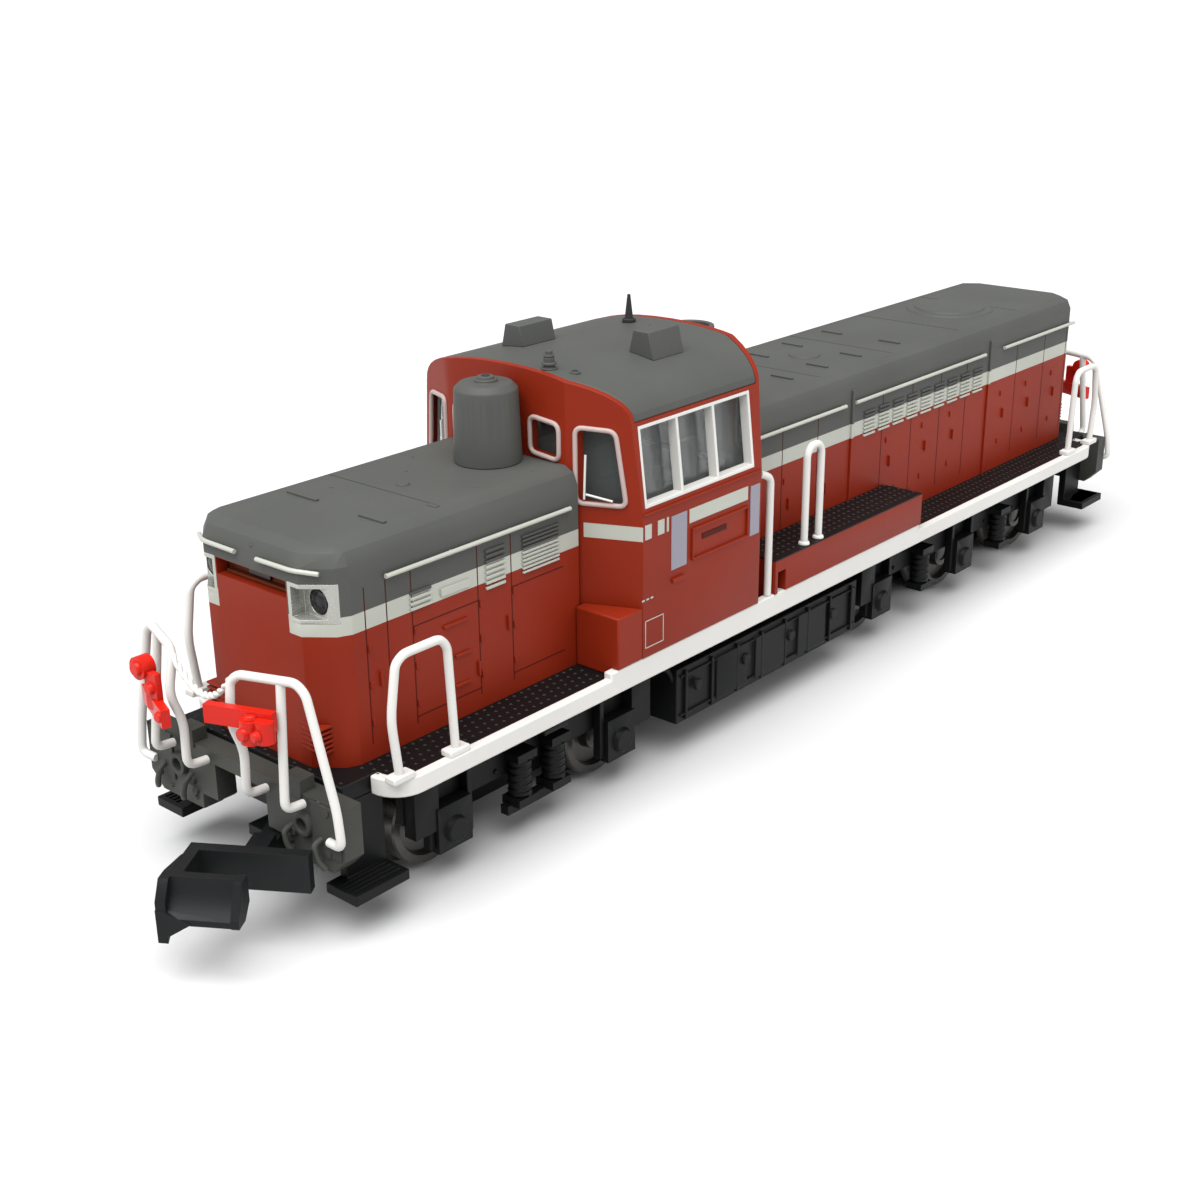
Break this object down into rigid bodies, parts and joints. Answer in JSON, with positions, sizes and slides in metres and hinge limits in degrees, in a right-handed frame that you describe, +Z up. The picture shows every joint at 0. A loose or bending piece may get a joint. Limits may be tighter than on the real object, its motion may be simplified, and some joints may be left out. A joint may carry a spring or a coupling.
{
  "type": "model diesel locomotive",
  "caption": "Small-scale centre-cab diesel locomotive with two swivelling bogies, a geared motor drive and swinging hook couplers.",
  "frame": {"origin": "middle of the locomotive, on the plane that the wheel flanges stand on", "axes": "+Y along the locomotive away from its short hood, +X to one side, +Z up"},
  "size_m": [0.0182, 0.1056, 0.0278],
  "materials": {
    "body_red": "satin paint",
    "roof_grey": "satin paint",
    "dark_grey": "matt",
    "beam_grey": "satin paint",
    "trim_white": "satin paint",
    "deck_black": "moulded",
    "lever_red": "moulded",
    "lamp_silver": "silver paint",
    "window_clear": "clear",
    "light_clear": "clear",
    "circuit_green": "lacquered",
    "interior_green": "moulded",
    "cast_weight": "die cast, zinc alloy in fact",
    "screw_steel": "machined",
    "motor_steel": "plated",
    "bearing_brass": "machined",
    "winding_copper": "copper and laminations",
    "gearbox_black": "moulded",
    "wheel_metal": "blackened",
    "gear_ivory": "moulded",
    "coupler_black": "moulded"
  },
  "bodies": {
    "loco_frame": {"running_board": "deck_black", "side_sills": "trim_white", "end_beam_front": "beam_grey", "end_beam_rear": "beam_grey", "corner_steps": "deck_black", "short_hood_shell": "body_red", "long_hood_shell": "body_red", "cab_shell": "body_red", "cab_roof": "roof_grey", "cab_glazing": "window_clear", "side_window_frames": "trim_white", "equipment_boxes": "body_red", "walkway_boxes": "body_red", "steam_stack": "roof_grey", "engine_exhaust": "dark_grey", "roof_vents": "roof_grey", "whistle": "roof_grey", "antenna": "dark_grey", "headlight_bezels": "lamp_silver", "light_guides": "light_clear", "light_boards": "circuit_green", "end_rails_front": "trim_white", "end_rails_rear": "trim_white", "walkway_rails": "trim_white", "uncoupling_levers": "lever_red", "cab_interior": "interior_green", "underframe_tanks": "deck_black", "chassis_right": "cast_weight", "chassis_left": "cast_weight", "chassis_screws": "screw_steel", "motor_can": "motor_steel", "shaft_bearings": "bearing_brass", "coupler_pockets": "deck_black"},
    "bogie_front": {"bogie_core_front": "gearbox_black", "side_frames_front": "deck_black", "keeper_plate_front": "gearbox_black", "pickups_front": "winding_copper"},
    "bogie_rear": {"bogie_core_rear": "gearbox_black", "side_frames_rear": "deck_black", "keeper_plate_rear": "gearbox_black", "pickups_rear": "winding_copper"},
    "rotor": {"motor_rotor": "winding_copper", "flywheels": "bearing_brass"},
    "worm_front": {"worm_shaft_front": "bearing_brass"},
    "worm_rear": {"worm_shaft_rear": "bearing_brass"},
    "coupler_front": {"coupler_front": "coupler_black"},
    "coupler_rear": {"coupler_rear": "coupler_black"},
    "wheelset_1": {"wheelset_1": "wheel_metal"},
    "wheelset_2": {"wheelset_2": "wheel_metal"},
    "wheelset_3": {"wheelset_3": "wheel_metal"},
    "wheelset_4": {"wheelset_4": "wheel_metal"},
    "wheelset_5": {"wheelset_5": "wheel_metal"},
    "drive_gear_front": {"drive_gear_front": "gear_ivory"},
    "idler_front_a": {"idler_front_a": "gear_ivory"},
    "idler_front_b": {"idler_front_b": "gear_ivory"},
    "drive_gear_rear": {"drive_gear_rear": "gear_ivory"},
    "idler_rear_a": {"idler_rear_a": "gear_ivory"},
    "idler_rear_b": {"idler_rear_b": "gear_ivory"},
    "idler_rear_c": {"idler_rear_c": "gear_ivory"},
    "idler_rear_d": {"idler_rear_d": "gear_ivory"}
  },
  "joints": [
    {"name": "motor_spin", "type": "hinge", "parent": "loco_frame", "child": "rotor", "pos_m": [0, -0.004, 0.0124], "axis": [0, 1, 0], "continuous": true},
    {"name": "worm_front_spin", "type": "hinge", "parent": "loco_frame", "child": "worm_front", "pos_m": [0, -0.0289, 0.0124], "axis": [0, 1, 0], "continuous": true},
    {"name": "bogie_front_swivel", "type": "hinge", "parent": "loco_frame", "child": "bogie_front", "pos_m": [0, -0.0289, 0.008], "axis": [0, 0, 1], "range_deg": [-6, 6]},
    {"name": "worm_rear_spin", "type": "hinge", "parent": "loco_frame", "child": "worm_rear", "pos_m": [0, 0.0209, 0.0124], "axis": [0, 1, 0], "continuous": true},
    {"name": "bogie_rear_swivel", "type": "hinge", "parent": "loco_frame", "child": "bogie_rear", "pos_m": [0, 0.0209, 0.008], "axis": [0, 0, 1], "range_deg": [-6, 6]},
    {"name": "drive_gear_front_spin", "type": "hinge", "parent": "bogie_front", "child": "drive_gear_front", "pos_m": [0, -0.0289, 0.008], "axis": [1, 0, 0], "continuous": true},
    {"name": "idler_front_a_spin", "type": "hinge", "parent": "bogie_front", "child": "idler_front_a", "pos_m": [0, -0.03271, 0.00549], "axis": [1, 0, 0], "continuous": true},
    {"name": "idler_front_b_spin", "type": "hinge", "parent": "bogie_front", "child": "idler_front_b", "pos_m": [0, -0.02509, 0.00549], "axis": [1, 0, 0], "continuous": true},
    {"name": "wheelset_1_spin", "type": "hinge", "parent": "bogie_front", "child": "wheelset_1", "pos_m": [0, -0.0361, 0.00325], "axis": [1, 0, 0], "continuous": true},
    {"name": "wheelset_2_spin", "type": "hinge", "parent": "bogie_front", "child": "wheelset_2", "pos_m": [0, -0.0217, 0.00325], "axis": [1, 0, 0], "continuous": true},
    {"name": "drive_gear_rear_spin", "type": "hinge", "parent": "bogie_rear", "child": "drive_gear_rear", "pos_m": [0, 0.0209, 0.008], "axis": [1, 0, 0], "continuous": true},
    {"name": "idler_rear_a_spin", "type": "hinge", "parent": "bogie_rear", "child": "idler_rear_a", "pos_m": [0, 0.01661, 0.00636], "axis": [1, 0, 0], "continuous": true},
    {"name": "idler_rear_b_spin", "type": "hinge", "parent": "bogie_rear", "child": "idler_rear_b", "pos_m": [0, 0.01233, 0.00472], "axis": [1, 0, 0], "continuous": true},
    {"name": "idler_rear_c_spin", "type": "hinge", "parent": "bogie_rear", "child": "idler_rear_c", "pos_m": [0, 0.02519, 0.00636], "axis": [1, 0, 0], "continuous": true},
    {"name": "idler_rear_d_spin", "type": "hinge", "parent": "bogie_rear", "child": "idler_rear_d", "pos_m": [0, 0.02947, 0.00472], "axis": [1, 0, 0], "continuous": true},
    {"name": "wheelset_3_spin", "type": "hinge", "parent": "bogie_rear", "child": "wheelset_3", "pos_m": [0, 0.0085, 0.00325], "axis": [1, 0, 0], "continuous": true},
    {"name": "wheelset_4_spin", "type": "hinge", "parent": "bogie_rear", "child": "wheelset_4", "pos_m": [0, 0.0209, 0.00325], "axis": [1, 0, 0], "continuous": true},
    {"name": "wheelset_5_spin", "type": "hinge", "parent": "bogie_rear", "child": "wheelset_5", "pos_m": [0, 0.0333, 0.00325], "axis": [1, 0, 0], "continuous": true},
    {"name": "coupler_front_swing", "type": "hinge", "parent": "loco_frame", "child": "coupler_front", "pos_m": [0, -0.0407, 0.0039], "axis": [0, 0, 1], "range_deg": [-66, 2]},
    {"name": "coupler_rear_swing", "type": "hinge", "parent": "loco_frame", "child": "coupler_rear", "pos_m": [0, 0.0407, 0.0039], "axis": [0, 0, 1], "range_deg": [-66, 2]}
  ],
  "couplings": [
    {"joint": "worm_front_spin", "follows": "motor_spin", "ratio": 1},
    {"joint": "worm_rear_spin", "follows": "motor_spin", "ratio": 1},
    {"joint": "drive_gear_front_spin", "follows": "motor_spin", "ratio": 0.05},
    {"joint": "idler_front_a_spin", "follows": "motor_spin", "ratio": -0.05},
    {"joint": "idler_front_b_spin", "follows": "motor_spin", "ratio": -0.05},
    {"joint": "wheelset_1_spin", "follows": "motor_spin", "ratio": 0.064286},
    {"joint": "wheelset_2_spin", "follows": "motor_spin", "ratio": 0.064286},
    {"joint": "drive_gear_rear_spin", "follows": "motor_spin", "ratio": -0.05},
    {"joint": "idler_rear_a_spin", "follows": "motor_spin", "ratio": 0.05},
    {"joint": "idler_rear_b_spin", "follows": "motor_spin", "ratio": -0.05},
    {"joint": "idler_rear_c_spin", "follows": "motor_spin", "ratio": 0.05},
    {"joint": "idler_rear_d_spin", "follows": "motor_spin", "ratio": -0.05},
    {"joint": "wheelset_3_spin", "follows": "motor_spin", "ratio": 0.064286},
    {"joint": "wheelset_5_spin", "follows": "motor_spin", "ratio": 0.064286}
  ]
}
